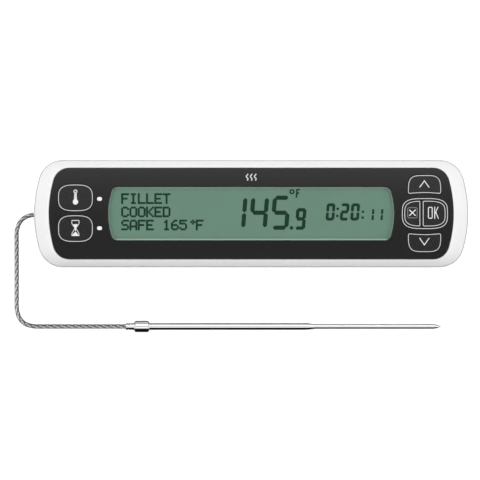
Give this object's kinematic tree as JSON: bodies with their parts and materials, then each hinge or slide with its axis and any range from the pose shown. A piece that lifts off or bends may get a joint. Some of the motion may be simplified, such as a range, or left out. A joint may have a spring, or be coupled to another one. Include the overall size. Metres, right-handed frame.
{
  "type": "meat thermometer",
  "caption": "Leave-in meat thermometer: long white display unit with a black key panel and LCD, and a steel needle probe on a short braided lead.",
  "frame": {"origin": "centre of the display unit's flat back face", "axes": "+X along the unit towards the arrow keys, +Y towards its top edge, +Z out of its face"},
  "size_m": [0.2458, 0.0934, 0.025],
  "materials": {
    "shell_white": "glossy",
    "stand_white": "fine satin texture",
    "panel_black": "glossy",
    "key_black": "satin with pale printed outlines",
    "lens_clear": "clear moulded acrylic",
    "lcd_green": "satin polariser",
    "light_guide": "frosted",
    "led_yellow": "moulded",
    "indicator_white": "milky light guide",
    "gasket_foam": "matt foam",
    "tray_ivory": "moulded",
    "zebra_pink": "matt",
    "board_green": "solder mask",
    "part_black": "moulded",
    "plunger_tan": "moulded",
    "screw_steel": "zinc plated",
    "contact_brass": "plated",
    "magnet_nickel": "nickel plated",
    "cell_jacket": "printed film",
    "foot_rubber": "matt",
    "plug_black": "satin",
    "plug_ring": "satin",
    "plug_nickel": "nickel plated",
    "cord_braid": "stainless wire braid",
    "probe_steel": "polished",
    "sensor_bead": "glass bead",
    "sensor_lead": "film insulated"
  },
  "bodies": {
    "monitor": {"front_shell": "shell_white", "face_panel": "panel_black", "display_lens": "lens_clear", "lcd_gasket": "gasket_foam", "lcd_cell": "lcd_green", "backlight_panel": "light_guide", "backlight_leds": "led_yellow", "lcd_tray": "tray_ivory", "zebra_strips": "zebra_pink", "main_board": "board_green", "controller_chip": "part_black", "board_components": "part_black", "board_screws": "screw_steel", "switch_housings": "part_black", "switch_domes": "screw_steel", "indicator_lenses": "indicator_white", "indicator_leds": "led_yellow", "buzzer": "part_black", "jack_housing": "part_black", "jack_bushing": "plug_nickel", "jack_contact": "contact_brass", "jack_terminals": "contact_brass", "rear_cover": "shell_white", "back_magnets": "magnet_nickel", "battery_cells": "cell_jacket", "battery_springs": "screw_steel", "battery_plates": "screw_steel", "housing_screws": "screw_steel"},
    "thermometer_button": {"thermometer_key": "key_black", "thermometer_plunger": "plunger_tan"},
    "timer_button": {"timer_key": "key_black", "timer_plunger": "plunger_tan"},
    "up_button": {"up_key": "key_black", "up_plunger": "plunger_tan"},
    "down_button": {"down_key": "key_black", "down_plunger": "plunger_tan"},
    "cancel_button": {"cancel_key": "key_black", "cancel_plunger": "plunger_tan"},
    "ok_button": {"ok_key": "key_black", "ok_plunger": "plunger_tan"},
    "stand": {"stand_leg": "stand_white", "stand_pin": "screw_steel", "stand_foot_pads": "foot_rubber"},
    "battery_door": {"battery_door": "shell_white"},
    "probe_lead": {"plug_body": "plug_black", "plug_boot": "plug_black", "plug_sleeve": "plug_nickel", "plug_insulator": "plug_ring", "plug_tip": "plug_nickel", "probe_cord": "cord_braid", "probe_ferrule": "probe_steel", "probe_collar": "probe_steel", "probe_tube": "probe_steel", "thermistor": "sensor_bead", "thermistor_leads": "sensor_lead"}
  },
  "joints": [
    {"name": "thermometer_key_press", "type": "slide", "parent": "monitor", "child": "thermometer_button", "axis": [0, 0, -1], "range_m": [0, 0.0005], "stiffness_N_per_m": 3000},
    {"name": "timer_key_press", "type": "slide", "parent": "monitor", "child": "timer_button", "axis": [0, 0, -1], "range_m": [0, 0.0005], "stiffness_N_per_m": 3000},
    {"name": "up_key_press", "type": "slide", "parent": "monitor", "child": "up_button", "axis": [0, 0, -1], "range_m": [0, 0.0005], "stiffness_N_per_m": 3000},
    {"name": "down_key_press", "type": "slide", "parent": "monitor", "child": "down_button", "axis": [0, 0, -1], "range_m": [0, 0.0005], "stiffness_N_per_m": 3000},
    {"name": "cancel_key_press", "type": "slide", "parent": "monitor", "child": "cancel_button", "axis": [0, 0, -1], "range_m": [0, 0.0005], "stiffness_N_per_m": 3000},
    {"name": "ok_key_press", "type": "slide", "parent": "monitor", "child": "ok_button", "axis": [0, 0, -1], "range_m": [0, 0.0005], "stiffness_N_per_m": 3000},
    {"name": "stand_fold", "type": "hinge", "parent": "monitor", "child": "stand", "pos_m": [0, 0.0165, 0.0025], "axis": [1, 0, 0], "range_deg": [0, 60]},
    {"name": "battery_door_swing", "type": "hinge", "parent": "monitor", "child": "battery_door", "pos_m": [0.0394, 0, 0.0013], "axis": [0, 1, 0], "range_deg": [0, 90]},
    {"name": "probe_plug_pull", "type": "slide", "parent": "monitor", "child": "probe_lead", "axis": [-1, 0, 0], "range_m": [0, 0.014]}
  ]
}
